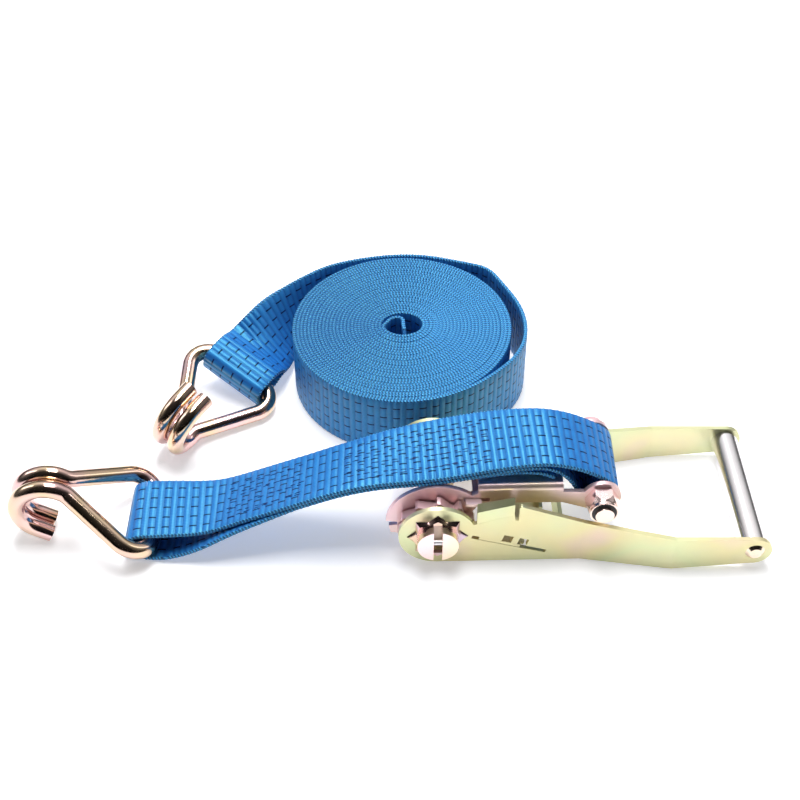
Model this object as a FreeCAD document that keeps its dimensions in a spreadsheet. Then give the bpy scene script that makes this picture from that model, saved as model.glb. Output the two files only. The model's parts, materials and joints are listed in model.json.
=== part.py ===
import FreeCAD, Part
import math
import os
import Sketcher
from FreeCAD import Placement, Rotation, Vector

# Ratchet strap for 50 mm webbing, in two pieces: the ratchet buckle with its
# short hooked strap, and the long hooked strap rolled up beside it.
# Frame: millimetres, +Z up, floor at z = 0.  The origin lies on the floor under
# the middle of the spindle.  +X runs along the handle towards the grip and +Y
# runs along the spindle towards the rolled strap.

doc = FreeCAD.newDocument("ratchet_strap")

# ---------------------------------------------------------------- dimensions
DIMENSIONS = {
    # webbing
    "webbing_width": 50.0,
    "webbing_thickness": 2.6,
    # ratchet frame
    "spindle_height": 25.0,
    "frame_inner_width": 53.0,
    "plate_thickness": 3.0,
    "frame_web_height": 57.5,
    "frame_web_start": 26.0,
    "frame_web_end": 80.0,
    "bend_radius": 4.0,
    "cam_radius": 33.0,
    "pin_reach": 105.0,
    "pin_height": 45.5,
    "pin_end_radius": 12.5,
    # spindle and wheels
    "spindle_radius": 13.2,
    "spindle_length": 101.0,
    "spindle_slit": 5.6,
    "running_clearance": 0.1,
    "wheel_tip_radius": 25.5,
    "wheel_root_radius": 20.5,
    "wheel_thickness": 6.5,
    "wheel_offset": 33.75,
    "cotter_radius": 1.8,
    "cotter_offset": 46.5,
    "cotter_length": 25.4,
    # strap pin, a bolt with a lock nut
    "bolt_radius": 6.0,
    "bolt_hole_radius": 6.1,
    "bolt_tail": 16.0,
    "hex_across_flats": 19.0,
    "bolt_head_thickness": 7.5,
    "nut_thickness": 11.0,
    "sleeve_radius": 8.5,
    # handle
    "handle_inner_width": 77.0,
    "handle_end_radius": 25.0,
    "handle_flare": 10.3,
    "grip_reach": 204.0,
    "grip_height": 15.5,
    "grip_end_radius": 11.0,
    "grip_radius": 9.0,
    "grip_rod_radius": 5.0,
    # pawls and their springs
    "pawl_thickness": 2.5,
    "pawl_slot_width": 2.8,
    "drive_slot_angle": 17.7,
    "drive_slot_length": 50.7,
    "spring_radius": 2.2,
    "spring_wire_radius": 0.45,
    # claw hooks
    "hook_rod_radius": 5.75,
    "hook_claw_radius": 20.0,
    # rolled strap
    "coil_radius": 79.5,
}

sheet = doc.addObject("Spreadsheet::Sheet", "sizes")
for row, (alias, value) in enumerate(DIMENSIONS.items(), start=1):
    sheet.set("A%d" % row, alias)
    sheet.set("B%d" % row, str(value))
    sheet.setAlias("B%d" % row, alias)
doc.recompute()

SIZE = DIMENSIONS
AXIS_Z = SIZE["spindle_height"]
FRAME_HALF = SIZE["frame_inner_width"] / 2
FRAME_FACE = FRAME_HALF + SIZE["plate_thickness"]
HANDLE_HALF = SIZE["handle_inner_width"] / 2
HANDLE_FACE = HANDLE_HALF + SIZE["plate_thickness"]
SIDES = (("near", -1), ("far", 1))
pieces = []
strap_routes = {}


# ------------------------------------------------------------------- helpers
class Outline:
    """A closed outline of straight lines and circular arcs."""

    def __init__(self, x, y):
        self.first = Vector(x, y, 0)
        self.last = self.first
        self.edges = []

    def line(self, x, y):
        end = Vector(x, y, 0)
        self.edges.append(Part.LineSegment(self.last, end))
        self.last = end
        return self

    def arc(self, middle, end):
        middle = Vector(middle[0], middle[1], 0)
        end = Vector(end[0], end[1], 0)
        self.edges.append(Part.Arc(self.last, middle, end))
        self.last = end
        return self

    def close(self):
        if (self.last - self.first).Length > 1e-6:
            self.edges.append(Part.LineSegment(self.last, self.first))
        return self.edges


def polygon(*points):
    """A closed outline of straight lines."""
    outline = Outline(*points[0])
    for x, y in points[1:]:
        outline.line(x, y)
    return outline.close()


def rectangle(left, right, low, high):
    return polygon((left, low), (right, low), (right, high), (left, high))


def circle(x, y, radius):
    return [Part.Circle(Vector(x, y, 0), Vector(0, 0, 1), radius)]


def polar(radius, degrees, centre=(0.0, 0.0)):
    angle = math.radians(degrees)
    return centre[0] + radius * math.cos(angle), centre[1] + radius * math.sin(angle)


def add_piece(thing, label):
    thing.Label = label
    pieces.append(thing)
    return thing


def new_body(label):
    return add_piece(doc.addObject("PartDesign::Body", label), label)


def draw(body, role, name, *loops):
    """A sketch on one of the body's origin planes, with closed loops of edges."""
    sketch = body.newObject("Sketcher::SketchObject", name)
    plane = [f for f in body.Origin.OriginFeatures if f.Role == role][0]
    sketch.AttachmentSupport = [(plane, "")]
    sketch.MapMode = "FlatFace"
    for edges in loops:
        first = sketch.GeometryCount
        sketch.addGeometry(edges, False)
        if len(edges) > 1:
            join_ends(sketch, first, len(edges))
    return sketch


def join_ends(sketch, first, count):
    """Makes the touching ends of neighbouring edges coincident."""
    pairs = count if count > 2 else 1
    for index in range(pairs):
        here = first + index
        there = first + (index + 1) % count
        for here_end in (1, 2):
            for there_end in (1, 2):
                gap = sketch.getPoint(here, here_end) - sketch.getPoint(there, there_end)
                if gap.Length < 1e-5:
                    joint = Sketcher.Constraint("Coincident", here, here_end, there, there_end)
                    sketch.addConstraint(joint)


def bind_radius(sketch, index, name, expression):
    """Gives a circle of a sketch a named radius that follows the sheet."""
    geometry = sketch.Geometry[index]
    sketch.addConstraint(Sketcher.Constraint("Radius", index, geometry.Radius))
    sketch.renameConstraint(sketch.ConstraintCount - 1, name)
    sketch.setExpression("Constraints." + name, expression)


def pad(body, sketch, name, length, both_ways=True):
    feature = body.newObject("PartDesign::Pad", name)
    feature.Profile = sketch
    if both_ways:
        feature.SideType = "Symmetric"
    if isinstance(length, str):
        feature.setExpression("Length", length)
    else:
        feature.Length = length
    sketch.Visibility = False
    return feature


def pocket(body, sketch, name, length):
    """Cuts a sketch out of a body, half of the length to each side of it."""
    feature = body.newObject("PartDesign::Pocket", name)
    feature.Profile = sketch
    feature.SideType = "Symmetric"
    if isinstance(length, str):
        feature.setExpression("Length", length)
    else:
        feature.Length = length
    sketch.Visibility = False
    return feature


def round_edges(body, feature, name, radius, wanted):
    """Rounds the edges of a body's latest feature that wanted picks out."""
    doc.recompute()
    chosen = ["Edge%d" % (index + 1) for index, edge in enumerate(feature.Shape.Edges) if wanted(edge)]
    fillet = body.newObject("PartDesign::Fillet", name)
    fillet.Base = (feature, chosen)
    fillet.setExpression("Radius", radius)
    return fillet


def solid_piece(label, shape, placement=None):
    """A piece whose shape is built directly, for bent rod and webbing."""
    thing = doc.addObject("Part::Feature", label)
    thing.Shape = shape
    if placement is not None:
        thing.Placement = placement
    return add_piece(thing, label)


def cylinder(name, radius, height, base, axis):
    """A Part cylinder from base along axis; sizes may be sheet expressions."""
    rod = doc.addObject("Part::Cylinder", name)
    for prop, value in (("Radius", radius), ("Height", height)):
        if isinstance(value, str):
            rod.setExpression(prop, value)
        else:
            setattr(rod, prop, value)
    rod.Placement = Placement(Vector(*base), Rotation(Vector(0, 0, 1), Vector(*axis)))
    return rod


def prism(name, circumradius, height, base, axis, turn=0.0):
    """A six-sided Part prism from base along axis."""
    block = doc.addObject("Part::Prism", name)
    block.Polygon = 6
    block.setExpression("Circumradius", circumradius)
    block.setExpression("Height", height)
    spin = Rotation(Vector(0, 0, 1), turn)
    facing = Rotation(Vector(0, 0, 1), Vector(*axis))
    block.Placement = Placement(Vector(*base), facing * spin)
    return block


def boolean(kind, name, first, second):
    """A Part cut, fuse or common of two objects."""
    result = doc.addObject("Part::" + kind, name)
    result.Base = first
    result.Tool = second
    return result


def fuse_all(name, *things):
    result = doc.addObject("Part::MultiFuse", name)
    result.Shapes = list(things)
    return result


def rounded_wire(vertices, closed=False):
    """Straight runs joined by tangent arcs.

    Each vertex is a point and the radius of the arc that rounds it.
    """
    points = [Vector(*vertex[0]) for vertex in vertices]
    radii = [vertex[1] for vertex in vertices]
    count = len(points)
    corners = range(count) if closed else range(1, count - 1)
    entry = {}
    for index in corners:
        here = points[index]
        before = (points[index - 1] - here).normalize()
        after = (points[(index + 1) % count] - here).normalize()
        if radii[index] == 0:
            entry[index] = (here, None, here)
            continue
        half = before.getAngle(after) / 2
        reach = radii[index] / math.tan(half)
        middle_way = (before + after).normalize()
        centre = here + middle_way * (radii[index] / math.sin(half))
        middle = centre - middle_way * radii[index]
        entry[index] = (here + before * reach, middle, here + after * reach)
    edges = []
    steps = range(count) if closed else range(count - 1)
    for index in steps:
        following = (index + 1) % count
        start = entry[index][2] if index in entry else points[index]
        end = entry[following][0] if following in entry else points[following]
        if (end - start).Length > 1e-6:
            edges.append(Part.LineSegment(start, end).toShape())
        if following in entry and entry[following][1] is not None:
            edges.append(Part.Arc(*entry[following]).toShape())
    return Part.Wire(edges)


# ------------------------------------------------------------- ratchet frame
FRAME_PAWL_Z = 45.75
FRAME_PAWL_TIP = 18.0
FRAME_PAWL_END = 45.0
FRAME_SEAT_X = 62.0
FRAME_SLOT_START = 17.0
FRAME_SLOT_END = 33.5
HUB_RADIUS = 23.0
LUG_RADIUS = 31.0
SHOULDER_DROP = 6.0


def frame_outline():
    """Side plate of the frame, measured from the spindle's axis."""
    cam = SIZE["cam_radius"]
    top = SIZE["frame_web_height"] - AXIS_Z
    pin = (SIZE["pin_reach"], SIZE["pin_height"] - AXIS_Z)
    end = SIZE["pin_end_radius"]
    relief = top - SHOULDER_DROP
    start = SIZE["frame_web_start"]
    outline = Outline(start, top)
    outline.line(SIZE["frame_web_end"], top).line(SIZE["frame_web_end"], relief)
    outline.line(SIZE["frame_web_end"] + 4.5, relief)
    outline.line(*polar(end, 155, pin))
    outline.arc(polar(end, 15, pin), polar(end, -125, pin))
    outline.line(80.0, 17.0).line(50.0, 17.5).line(start, 15.0)
    outline.line(*polar(HUB_RADIUS, 20))
    outline.arc(polar(HUB_RADIUS, -80), polar(HUB_RADIUS, -155))
    outline.line(*polar(LUG_RADIUS, -163))
    outline.arc(polar(LUG_RADIUS, -170), polar(LUG_RADIUS, -176))
    outline.line(-25.5, -1.6).line(-25.5, 1.2)
    outline.line(*polar(cam, 176))
    outline.arc(polar(cam, 110), polar(cam, 48))
    outline.line(start, relief)
    return outline.close()


def build_frame():
    body = new_body("frame")
    body.Placement = Placement(Vector(0, 0, AXIS_Z), Rotation())
    side = draw(body, "XZ_Plane", "side_outline", frame_outline())
    pad(body, side, "frame_block", "sizes.frame_inner_width + 2 * sizes.plate_thickness")

    web_top = SIZE["frame_web_height"] - AXIS_Z
    web_low = web_top - SIZE["plate_thickness"]
    left, right = SIZE["frame_web_start"], SIZE["frame_web_end"]
    back, front, above = -60.0, 140.0, web_top + 9.0
    below = draw(body, "XZ_Plane", "below_web", rectangle(back, front, -60.0, web_low))
    pocket(body, below, "channel", "sizes.frame_inner_width")
    past_web = draw(body, "XZ_Plane", "past_web",
                    rectangle(back, left, web_low - 1, above),
                    rectangle(right, front, web_low - 1, above))
    ends = pocket(body, past_web, "channel_ends", "sizes.frame_inner_width")

    def outer_bend(edge):
        """The web's two long outer edges."""
        middle = edge.CenterOfMass
        along = abs(edge.tangentAt(edge.FirstParameter).x) > 0.999
        return along and abs(middle.z - web_top) < 0.01 and abs(abs(middle.y) - FRAME_FACE) < 0.01

    round_edges(body, ends, "web_bends", "sizes.bend_radius", outer_bend)

    bores = draw(body, "XZ_Plane", "bores",
                 circle(0, 0, SIZE["spindle_radius"] + SIZE["running_clearance"]),
                 circle(SIZE["pin_reach"], SIZE["pin_height"] - AXIS_Z, SIZE["bolt_hole_radius"]))
    bind_radius(bores, 0, "spindle_bore", "sizes.spindle_radius + sizes.running_clearance")
    bind_radius(bores, 1, "pin_bore", "sizes.bolt_hole_radius")
    pocket(body, bores, "bore_cuts", 80.0)

    slot_half = SIZE["pawl_slot_width"] / 2 + 0.05
    slot_middle = FRAME_PAWL_Z - AXIS_Z
    slots = draw(body, "XZ_Plane", "pawl_slots",
                 rectangle(FRAME_SLOT_START, FRAME_SLOT_END,
                           slot_middle - slot_half, slot_middle + slot_half))
    pocket(body, slots, "pawl_slot_cuts", 80.0)
    return body


def build_frame_pawl():
    """Sliding pawl that locks the wheels from the frame's side."""
    body = new_body("frame_pawl")
    body.Placement = Placement(Vector(0, 0, FRAME_PAWL_Z), Rotation())
    inner = FRAME_HALF - 0.3
    ear = SIZE["wheel_offset"] + 0.7
    tip, root = FRAME_PAWL_TIP, FRAME_PAWL_TIP + 10.0
    plate = draw(body, "XY_Plane", "plate_outline",
                 polygon((tip, -ear), (root, -ear), (root, -inner), (FRAME_PAWL_END, -inner),
                         (FRAME_PAWL_END, inner), (root, inner), (root, ear), (tip, ear),
                         (tip, inner), (tip + 5, inner - 4), (tip + 5, 4 - inner), (tip, -inner)))
    pad(body, plate, "plate", "sizes.pawl_thickness")


def build_spring_seat(label, base, rotation, half_width, thickness, height, peg_spots):
    """Cross bar that the pawl springs push against, with a peg in each spring."""
    bar = doc.addObject("Part::Box", label + "_bar")
    bar.Length = thickness
    bar.Width = 2 * half_width
    bar.Height = height
    bar.Placement = Placement(Vector(0, -half_width, -height / 2), Rotation())
    pegs = [cylinder(label + "_peg", 1.2, 7.0, (-7.0, y, 0), (1, 0, 0)) for y in peg_spots]
    seat = fuse_all(label, bar, *pegs)
    seat.Placement = Placement(Vector(*base), rotation)
    return add_piece(seat, label)


def build_spring(label, placement, length, turns):
    """Compression spring along its own X axis."""
    pitch = length / turns
    helix = Part.makeHelix(pitch, length, SIZE["spring_radius"])
    start = Vector(SIZE["spring_radius"], 0, 0)
    ring = Part.Wire(Part.Circle(start, Vector(0, 1, 0), SIZE["spring_wire_radius"]).toShape())
    coil = Part.Wire(helix).makePipeShell([ring], True, True)
    lying = Placement(Vector(), Rotation(Vector(0, 1, 0), 90))
    return solid_piece(label, coil, placement.multiply(lying))


# --------------------------------------------------------- spindle and wheels
def d_outline(radius, flat, side):
    """Half of a round bar, on one side of the strap slit."""
    rise = math.sqrt(radius ** 2 - flat ** 2)
    outline = Outline(side * flat, -rise)
    outline.arc((side * radius, 0), (side * flat, rise))
    return outline.close()


def build_spindle_half(label, side):
    body = new_body(label)
    body.Placement = Placement(Vector(0, 0, AXIS_Z), Rotation())
    section = draw(body, "XZ_Plane", "half_round",
                   d_outline(SIZE["spindle_radius"], SIZE["spindle_slit"] / 2, side))
    pad(body, section, "bar", "sizes.spindle_length")
    offset = SIZE["cotter_offset"]
    holes = draw(body, "YZ_Plane", "cotter_holes",
                 circle(-offset, 0, SIZE["cotter_radius"] + 0.05),
                 circle(offset, 0, SIZE["cotter_radius"] + 0.05))
    pocket(body, holes, "cotter_cuts", 60.0)


WASHER_POINTS = 8
WASHER_FOOT = (19.8, 15.2)
WASHER_CROWN = (16.4, 14.2)
WASHER_HEIGHT = 2.4
WASHER_GAP = 0.2


def wheel_outline():
    """Saw-toothed rim with a steep face and a sloping back on each tooth."""
    teeth = 11
    step = 360.0 / teeth
    tip, root = SIZE["wheel_tip_radius"], SIZE["wheel_root_radius"]
    outline = None
    for tooth in range(teeth):
        angle = 90.0 - tooth * step
        if outline is None:
            outline = Outline(*polar(root, angle + 2.0))
        else:
            outline.line(*polar(root, angle + 2.0))
        outline.line(*polar(tip, angle + 1.0))
        outline.line(*polar(tip, angle - 4.0))
        outline.line(*polar(root, angle - step + 7.0))
    return outline.close()


def build_wheel(label, side):
    body = new_body(label)
    body.Placement = Placement(Vector(0, side * SIZE["wheel_offset"], AXIS_Z), Rotation())
    rim = draw(body, "XZ_Plane", "toothed_rim", wheel_outline())
    pad(body, rim, "disc", "sizes.wheel_thickness")
    radius = SIZE["spindle_radius"] + 0.05
    flat = SIZE["spindle_slit"] / 2 - 0.05
    halves = draw(body, "XZ_Plane", "spindle_holes",
                  d_outline(radius, flat, -1), d_outline(radius, flat, 1))
    pocket(body, halves, "spindle_cuts", 20.0)


def build_cotter(label, side):
    """Straight pin across the spindle's end that keeps its wheel and plates on."""
    half = SIZE["cotter_length"] / 2
    pin = cylinder(label, "sizes.cotter_radius", "sizes.cotter_length",
                   (-half, side * SIZE["cotter_offset"], AXIS_Z), (1, 0, 0))
    return add_piece(pin, label)


def star_outline(tip, root):
    """Eight-pointed star about the spindle's axis."""
    corners = []
    for index in range(2 * WASHER_POINTS):
        radius = root if index % 2 else tip
        corners.append(polar(radius, index * 180.0 / WASHER_POINTS))
    return polygon(*corners)


def loft(body, name, first, second):
    """Straight-sided solid between two sketches of the body."""
    solid = body.newObject("PartDesign::AdditiveLoft", name)
    solid.Profile = first
    solid.Sections = [second]
    solid.Ruled = True
    return solid


def build_star_washer(label, side):
    """Toothed, dished washer pressed over the spindle outside the handle's plate."""
    body = new_body(label)
    body.Placement = Placement(Vector(0, 0, AXIS_Z), Rotation())
    face = HANDLE_FACE + WASHER_GAP
    foot = draw(body, "XZ_Plane", "star_foot", star_outline(*WASHER_FOOT))
    foot.AttachmentOffset = Placement(Vector(0, 0, -side * face), Rotation())
    crown = draw(body, "XZ_Plane", "star_crown", star_outline(*WASHER_CROWN))
    crown.AttachmentOffset = Placement(Vector(0, 0, -side * (face + WASHER_HEIGHT)), Rotation())
    loft(body, "star", foot, crown)
    bore = draw(body, "XZ_Plane", "bore", circle(0, 0, SIZE["spindle_radius"] + 0.05))
    pocket(body, bore, "bore_cut", 240.0)


# ---------------------------------------------------------------- strap pin
def build_strap_pin():
    hex_radius = "sizes.hex_across_flats / 2 / cos(30)"
    x, z = SIZE["pin_reach"], SIZE["pin_height"]
    tail = SIZE["bolt_tail"]
    shank = cylinder("bolt_shank", "sizes.bolt_radius",
                     "sizes.frame_inner_width + 2 * sizes.plate_thickness + sizes.bolt_tail",
                     (x, -FRAME_FACE - tail, z), (0, 1, 0))
    head = prism("bolt_head", hex_radius, "sizes.bolt_head_thickness", (x, FRAME_FACE, z), (0, 1, 0))
    dome = doc.addObject("Part::Sphere", "bolt_head_dome")
    dome.Radius = 14.0
    dome.Placement = Placement(Vector(x, FRAME_FACE - 5.0, z), Rotation())
    crowned = boolean("Common", "crowned_head", head, dome)
    add_piece(boolean("Fuse", "strap_pin_bolt", shank, crowned), "strap_pin_bolt")

    nut_base = (x, -FRAME_FACE, z)
    block = prism("nut_block", hex_radius, "sizes.nut_thickness", nut_base, (0, -1, 0))
    taper = doc.addObject("Part::Cone", "nut_taper")
    taper.Radius1 = 13.5
    taper.Radius2 = 9.2
    taper.setExpression("Height", "sizes.nut_thickness")
    taper.Placement = Placement(Vector(*nut_base), Rotation(Vector(0, 0, 1), Vector(0, -1, 0)))
    chamfered = boolean("Common", "nut_chamfered", block, taper)
    collar = cylinder("nut_collar", 9.0, 2.5, (x, -FRAME_FACE - SIZE["nut_thickness"] + 0.1, z), (0, -1, 0))
    solid_nut = boolean("Fuse", "nut_solid", chamfered, collar)
    bore = cylinder("nut_bore", "sizes.bolt_radius + 0.02", 20.0, (x, -FRAME_FACE + 1, z), (0, -1, 0))
    seat = cylinder("nut_insert_seat", 8.0, 3.0,
                    (x, -FRAME_FACE - SIZE["nut_thickness"] - 0.4, z), (0, -1, 0))
    cuts = boolean("Fuse", "nut_cuts", bore, seat)
    add_piece(boolean("Cut", "strap_pin_nut", solid_nut, cuts), "strap_pin_nut")

    ring_base = (x, -FRAME_FACE - SIZE["nut_thickness"] - 0.42, z)
    ring = cylinder("ring_outer", 7.95, 2.3, ring_base, (0, -1, 0))
    hole = cylinder("ring_hole", "sizes.bolt_radius + 0.02", 9.0,
                    (x, -FRAME_FACE - SIZE["nut_thickness"] + 2, z), (0, -1, 0))
    add_piece(boolean("Cut", "nut_locking_ring", ring, hole), "nut_locking_ring")

    length = "sizes.frame_inner_width - 0.4"
    start = (x, 0.2 - FRAME_HALF, z)
    tube = cylinder("sleeve_tube", "sizes.sleeve_radius", length, start, (0, 1, 0))
    inside = cylinder("sleeve_bore", "sizes.bolt_hole_radius", "sizes.frame_inner_width + 2",
                      (x, -FRAME_HALF - 1, z), (0, 1, 0))
    add_piece(boolean("Cut", "strap_pin_sleeve", tube, inside), "strap_pin_sleeve")


# ------------------------------------------------------------------- handle
FLARE_START = 93.0
FLARE_END = 152.0
DRIVE_SLOT = (22.2, 23.7)
TAB_START = 25.0
TAB_END = 48.5
# Name, x, height of the crease above the axis, rise of the upright facet and of the leaning one
TAB_SECTIONS = (("tab_foot_end", TAB_START, 9.9, 10.5, 5.0),
                ("tab_top_end", TAB_END, 19.0, 8.0, 3.8))


def drive_point(along, across=0.0):
    """A point of the drive pawl's slot, measured from the spindle's axis."""
    angle = math.radians(SIZE["drive_slot_angle"])
    x = DRIVE_SLOT[0] + along * math.cos(angle) + across * math.sin(angle)
    z = DRIVE_SLOT[1] - AXIS_Z - along * math.sin(angle) + across * math.cos(angle)
    return x, z


def drive_rectangle(start, end, low, high):
    return polygon(drive_point(start, low), drive_point(end, low),
                   drive_point(end, high), drive_point(start, high))


def handle_plan(side):
    """Plate seen from above, straight by the spindle and set out at the grip."""
    inner, outer = HANDLE_HALF, HANDLE_FACE
    flare = SIZE["handle_flare"]
    tip = SIZE["grip_reach"] + SIZE["grip_end_radius"] + 4
    back = -SIZE["handle_end_radius"] - 4
    return polygon((back, side * inner), (FLARE_START + 0.5, side * inner),
                   (FLARE_END + 0.5, side * (inner + flare)), (tip, side * (inner + flare)),
                   (tip, side * (outer + flare)), (FLARE_END, side * (outer + flare)),
                   (FLARE_START, side * outer), (back, side * outer))


def handle_outline():
    """Plate seen from the side, measured from the spindle's axis."""
    end = SIZE["handle_end_radius"]
    grip = (SIZE["grip_reach"], SIZE["grip_height"] - AXIS_Z)
    grip_end = SIZE["grip_end_radius"]
    tab_foot = polar(end, 24.0)
    outline = Outline(0, -end)
    outline.arc((-end, 0), tab_foot)
    outline.line(TAB_END, 19.0).line(49.4, 13.5).line(51.4, 13.5)
    outline.line(51.4, 24.0)
    outline.arc((52.2, 26.0), (54.3, 25.5))
    outline.line(93.7, 10.1).line(124.0, 6.0).line(FLARE_END, 3.0)
    outline.line(grip[0], grip[1] + grip_end)
    outline.arc((grip[0] + grip_end, grip[1]), polar(grip_end, -95, grip))
    outline.line(148.0, -end)
    return outline.close()


def build_handle_plate(label, side):
    body = new_body(label)
    body.Placement = Placement(Vector(0, 0, AXIS_Z), Rotation())
    plan = draw(body, "XY_Plane", "plan", handle_plan(side))
    pad(body, plan, "bent_strip", 140.0)
    outside = rectangle(-80, 290, -90, 90)
    trim = draw(body, "XZ_Plane", "trim", outside, handle_outline())
    pocket(body, trim, "side_trim", 240.0)

    grip = (SIZE["grip_reach"], SIZE["grip_height"] - AXIS_Z)
    bores = draw(body, "XZ_Plane", "bores",
                 circle(0, 0, SIZE["spindle_radius"] + SIZE["running_clearance"]),
                 circle(grip[0], grip[1], SIZE["grip_rod_radius"]))
    bind_radius(bores, 0, "spindle_bore", "sizes.spindle_radius + sizes.running_clearance")
    bind_radius(bores, 1, "grip_bore", "sizes.grip_rod_radius")
    pocket(body, bores, "bore_cuts", 240.0)

    half = SIZE["pawl_slot_width"] / 2
    long_slot = draw(body, "XZ_Plane", "pawl_slot",
                     drive_rectangle(0, SIZE["drive_slot_length"], -half, half))
    pocket(body, long_slot, "pawl_slot_cut", 240.0)
    windows = draw(body, "XZ_Plane", "pawl_windows",
                   drive_rectangle(19.6, 26.0, half - 0.1, half + 6.0),
                   drive_rectangle(30.2, 36.6, half - 0.1, half + 6.0))
    pocket(body, windows, "pawl_window_cuts", 240.0)

    inner, outer = side * HANDLE_HALF, side * HANDLE_FACE
    tab_ends = []
    for name, x, crease, rise, cap in TAB_SECTIONS:
        section = draw(body, "YZ_Plane", name,
                       polygon((inner, crease - 4.5), (outer, crease - 4.5), (outer, crease),
                               (outer - side * 1.2, crease + rise),
                               (outer - side * 4.2, crease + rise + cap),
                               (outer - side * 5.9, crease + rise + cap - 2.2),
                               (outer - side * 3.9, crease + rise - 0.9), (inner, crease)))
        section.AttachmentOffset = Placement(Vector(0, 0, x), Rotation())
        tab_ends.append(section)
    loft(body, "tab", *tab_ends)


def build_grip():
    x, z = SIZE["grip_reach"], SIZE["grip_height"]
    half = HANDLE_HALF + SIZE["handle_flare"]
    outer = half + SIZE["plate_thickness"]
    tube = cylinder("grip_tube", "sizes.grip_radius", 2 * half, (x, -half, z), (0, 1, 0))
    inside = cylinder("grip_tube_bore", "sizes.grip_rod_radius + 0.1", 2 * half + 2,
                      (x, -half - 1, z), (0, 1, 0))
    add_piece(boolean("Cut", "grip_sleeve", tube, inside), "grip_sleeve")

    rod = cylinder("grip_rod_bar", "sizes.grip_rod_radius", 2 * outer, (x, -outer, z), (0, 1, 0))
    heads = []
    for name, side in SIDES:
        head = doc.addObject("Part::Cone", "rivet_" + name)
        head.Radius1 = 6.2
        head.Radius2 = 4.2
        head.Height = 1.8
        head.Placement = Placement(Vector(x, side * outer, z),
                                   Rotation(Vector(0, 0, 1), Vector(0, side, 0)))
        heads.append(head)
    add_piece(fuse_all("grip_rod", rod, *heads), "grip_rod")


DRIVE_PAWL_START = 4.8
DRIVE_PAWL_END = 36.0
DRIVE_SEAT = 62.0


def drive_placement(along):
    x, z = drive_point(along)
    return Placement(Vector(x, 0, z + AXIS_Z), Rotation(Vector(0, 1, 0), SIZE["drive_slot_angle"]))


def build_drive_pawl():
    """Sliding pawl that turns the wheels with the handle."""
    body = new_body("drive_pawl")
    body.Placement = drive_placement(0)
    start, end = DRIVE_PAWL_START, DRIVE_PAWL_END
    shoulder = 15.0
    ear = HANDLE_FACE - 0.2
    inner = HANDLE_HALF - 0.4
    claw = FRAME_FACE + 1.0
    lip = 13.0
    outline = polygon((start, -ear), (start + 28, -ear), (start + 28, -inner), (end, -inner),
                      (end, -lip), (end + 12, 2 - lip), (end + 12, lip - 2), (end, lip),
                      (end, inner), (start + 28, inner), (start + 28, ear), (start, ear),
                      (start, claw), (shoulder, claw), (shoulder, -claw), (start, -claw))
    plate = draw(body, "XY_Plane", "plate_outline", outline)
    pad(body, plate, "plate", "sizes.pawl_thickness")
    pull = draw(body, "XZ_Plane", "finger_pull",
                polygon((end + 9.5, -1.25), (end + 12, -1.25), (end + 13.5, 7), (end + 11, 7)))
    pad(body, pull, "pull", 20.0)


# -------------------------------------------------------------- short strap
PIN = (SIZE["pin_reach"], SIZE["pin_height"])
PIN_LOOP = SIZE["sleeve_radius"] + 1.1
HOOK_EYE = (-191.5, 10.9)
HOOK_LOOP = 8.3
STRAP_YAW = 1.6


def wrap(centre, radius, angles, half_span):
    """Vertices, with radii, that round into one arc about a centre."""
    reach = radius / math.cos(math.radians(half_span))
    return [(polar(reach, angle, centre), radius * 0.98) for angle in angles]


def upright_face(corners):
    """Face in the XZ plane inside a loop of rounded corners."""
    vertices = [((x, 0, z), radius) for (x, z), radius in corners]
    return Part.Face(rounded_wire(vertices, closed=True))


def build_short_strap():
    """Webbing folded round the strap pin at one end and the hook at the other."""
    outer = PIN_LOOP + SIZE["webbing_thickness"]
    eye = HOOK_LOOP + SIZE["webbing_thickness"]
    pin_angles = (25, -45, -115)
    eye_angles = (225, 135)
    upper = [((-150.0, 21.4), 50), ((-100.0, 37.5), 150), ((-45.0, 58.5), 80),
             ((0.0, 65.5), 60), ((45.0, 74.3), 80), ((78.1, 74.3), 32)]
    lower = [((83.8, 59.6), 7), ((70.0, 69.1), 9), ((45.5, 69.1), 80), ((0.5, 60.2), 60),
             ((-44.2, 53.2), 80), ((-100.0, 32.0), 150), ((-135.0, 19.4), 60), ((-168.0, 0.0), 40)]
    outside = upper + wrap(PIN, outer, pin_angles, 35) + lower + wrap(HOOK_EYE, eye, eye_angles, 45)
    pin_hole = wrap(PIN, PIN_LOOP, pin_angles, 35)
    pin_hole += [((86.2, 60.6), 5), ((70.8, 71.6), 0), ((77.4, 71.7), 18)]
    hook_hole = wrap(HOOK_EYE, HOOK_LOOP, eye_angles, 45)
    hook_hole += [((-151.5, 18.8), 30), ((-137.0, 21.4), 0), ((-168.8, 2.6), 30)]

    edge_view = upright_face(outside).cut(upright_face(pin_hole)).cut(upright_face(hook_hole))
    profile = doc.addObject("Part::Feature", "short_strap_edge_view")
    profile.Shape = edge_view
    strap = doc.addObject("Part::Extrusion", "short_strap")
    strap.Base = profile
    strap.DirMode = "Custom"
    strap.Dir = Vector(0, 1, 0)
    strap.setExpression("LengthFwd", "sizes.webbing_width")
    strap.Symmetric = True
    strap.Solid = True
    about_pin = Vector(PIN[0], 0, 0)
    strap.Placement = Placement(Vector(), Rotation(Vector(0, 0, 1), STRAP_YAW), about_pin)
    add_piece(strap, "short_strap")


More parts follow.
